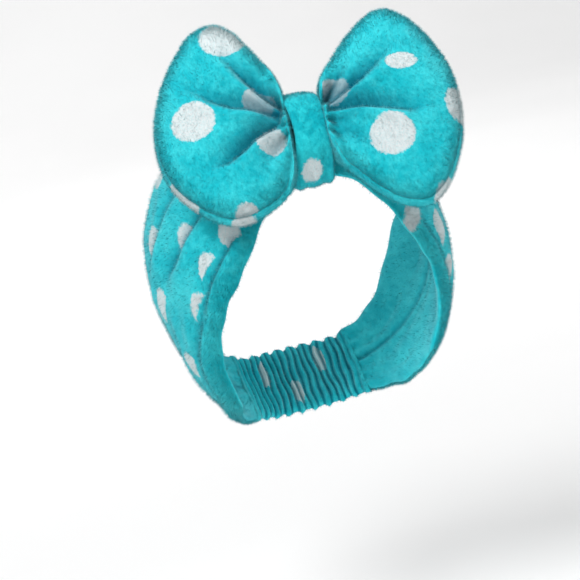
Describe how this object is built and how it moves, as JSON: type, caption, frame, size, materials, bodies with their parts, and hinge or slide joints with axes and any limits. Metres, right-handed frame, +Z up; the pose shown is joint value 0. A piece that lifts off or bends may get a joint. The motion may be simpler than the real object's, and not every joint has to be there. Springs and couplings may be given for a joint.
{
  "type": "spa headband",
  "caption": "Plush fleece spa headband: a soft tube gathered under a knot strip that holds a padded two-lobed bow, closed at the nape by a ruched elastic.",
  "frame": {"origin": "centre of the wearer's head, inside the loop", "axes": "+Z up to the crown, -Y towards the face, +X to the viewer's right when the face is seen from the front"},
  "size_m": [0.1668, 0.1967, 0.2425],
  "materials": {
    "plush_turquoise": "plush coral fleece with white dots",
    "wadding": "loose polyester wadding",
    "elastic": "woven elastic tape",
    "thread": "spun polyester sewing thread",
    "binding": "strong white thread"
  },
  "bodies": {
    "band": {"band_tube": "plush_turquoise", "band_seam": "thread", "end_stitches": "thread", "knot_strip": "plush_turquoise", "knot_stitches": "thread", "bow_waist": "plush_turquoise", "waist_thread": "binding", "bow_tacks": "thread"},
    "left_lobe": {"left_front_panel": "plush_turquoise", "left_back_panel": "plush_turquoise", "left_fill": "wadding", "left_seam": "thread"},
    "right_lobe": {"right_front_panel": "plush_turquoise", "right_back_panel": "plush_turquoise", "right_fill": "wadding", "right_seam": "thread"},
    "nape": {"elastic_casing": "plush_turquoise", "elastic_tape": "elastic", "casing_seam": "thread"}
  },
  "joints": [
    {"name": "left_lobe_flex", "type": "hinge", "parent": "band", "child": "left_lobe", "pos_m": [-0.00871, -0.07839, 0.09468], "axis": [0.1045, 0.4973, 0.8613], "range_deg": [0, 24], "stiffness_Nm_per_rad": 0.06},
    {"name": "right_lobe_flex", "type": "hinge", "parent": "band", "child": "right_lobe", "pos_m": [0.01038, -0.07939, 0.09294], "axis": [-0.1045, -0.4973, -0.8613], "range_deg": [0, 24], "stiffness_Nm_per_rad": 0.06},
    {"name": "nape_stretch", "type": "slide", "parent": "band", "child": "nape", "axis": [0, 0.6018, -0.7986], "range_m": [0, 0.022], "stiffness_N_per_m": 150}
  ]
}
